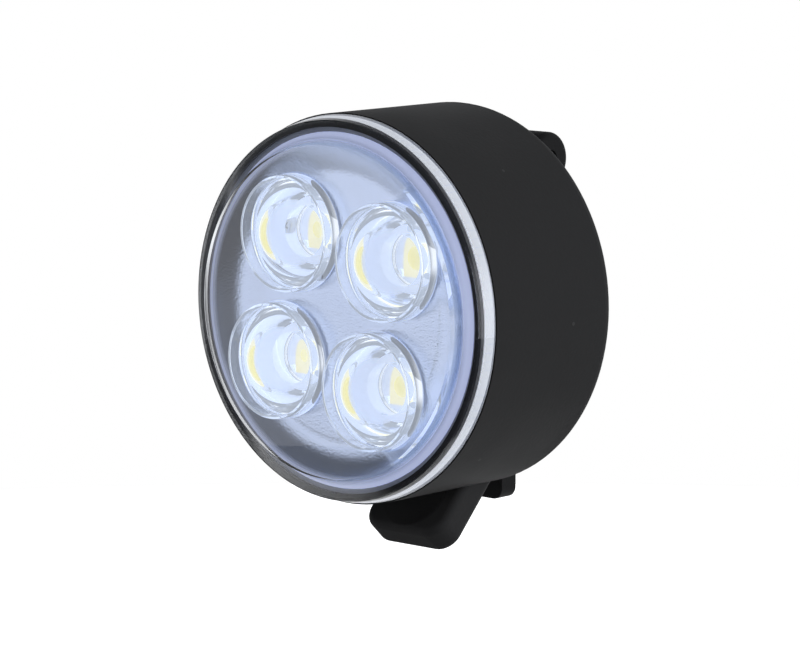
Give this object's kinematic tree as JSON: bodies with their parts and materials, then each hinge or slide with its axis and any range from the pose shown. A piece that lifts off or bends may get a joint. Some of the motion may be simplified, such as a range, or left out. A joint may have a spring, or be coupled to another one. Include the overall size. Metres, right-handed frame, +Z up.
{
  "type": "bicycle front light",
  "caption": "Round clear-fronted bicycle light: a coin-cell capsule with collimator optics in a black silicone jacket, held to the bar by a rubber strap and hook.",
  "frame": {"origin": "the point of the saddle's hollow that the handlebar touches, on the light's axis behind the jacket", "axes": "-Y is the way the light shines, +Y points at the handlebar, +Z is up, and +X runs along the handlebar"},
  "size_m": [0.0409, 0.0352, 0.0459],
  "materials": {
    "jacket_silicone": "smooth matt black silicone",
    "strap_rubber": "matt black rubber",
    "button_rubber": "matt dark grey silicone",
    "shell_plastic": "fine matt moulded black",
    "cover_plastic": "fine matt moulded black",
    "clear_lens": "polished clear plastic",
    "optic_acrylic": "polished clear acrylic",
    "dish_silver": "bluish silver coating",
    "seal_silicone": "soft grey silicone",
    "board_white": "white solder mask",
    "led_ceramic": "white moulded package",
    "phosphor": "yellow phosphor under clear resin",
    "steel": "plain bright steel",
    "cell_can": "nickel-plated steel",
    "contact_metal": "plain sprung metal",
    "component_dark": "moulded black",
    "component_tan": "ceramic brown",
    "switch_plastic": "dark moulded",
    "cradle_plastic": "natural white moulded",
    "plunger_plastic": "grey moulded"
  },
  "bodies": {
    "jacket": {"silicone_jacket": "jacket_silicone", "strap_pin": "steel"},
    "strap": {"rubber_strap": "strap_rubber"},
    "button": {"power_button": "button_rubber"},
    "capsule": {"capsule_shell": "shell_plastic", "front_lens": "clear_lens", "lens_seal": "jacket_silicone", "reflector_dish": "dish_silver", "optic_lower_right": "optic_acrylic", "optic_upper_right": "optic_acrylic", "optic_upper_left": "optic_acrylic", "optic_lower_left": "optic_acrylic", "led_lower_right": "led_ceramic", "led_upper_right": "led_ceramic", "led_upper_left": "led_ceramic", "led_lower_left": "led_ceramic", "phosphor_lower_right": "phosphor", "phosphor_upper_right": "phosphor", "phosphor_upper_left": "phosphor", "phosphor_lower_left": "phosphor", "led_board": "board_white", "board_screws": "steel", "controller_chip": "component_dark", "led_resistors": "component_dark", "capacitor": "component_tan", "tact_switch": "switch_plastic", "plunger_seal": "seal_silicone", "battery_cradle": "cradle_plastic", "coin_cell_front": "cell_can", "coin_cell_rear": "cell_can", "positive_contact": "contact_metal", "negative_contact": "contact_metal"},
    "plunger": {"switch_plunger": "plunger_plastic", "switch_stem": "switch_plastic"},
    "cover": {"battery_cover": "cover_plastic", "cover_seal": "seal_silicone"}
  },
  "joints": [
    {"name": "strap_swing", "type": "hinge", "parent": "jacket", "child": "strap", "pos_m": [0, 0.0054, 0.0138], "axis": [1, 0, 0], "range_deg": [0, 110]},
    {"name": "capsule_slide", "type": "slide", "parent": "jacket", "child": "capsule", "axis": [0, -1, 0], "range_m": [0, 0.022]},
    {"name": "power_press", "type": "slide", "parent": "jacket", "child": "button", "axis": [1, 0, 0], "range_m": [0, 0.0005], "stiffness_N_per_m": 1500},
    {"name": "plunger_press", "type": "slide", "parent": "capsule", "child": "plunger", "axis": [1, 0, 0], "range_m": [0, 0.0005]},
    {"name": "cover_twist", "type": "hinge", "parent": "capsule", "child": "cover", "pos_m": [0, -0.0034, 0], "axis": [0, 1, 0], "range_deg": [0, 45]}
  ],
  "couplings": [
    {"joint": "plunger_press", "follows": "power_press", "ratio": 1}
  ]
}
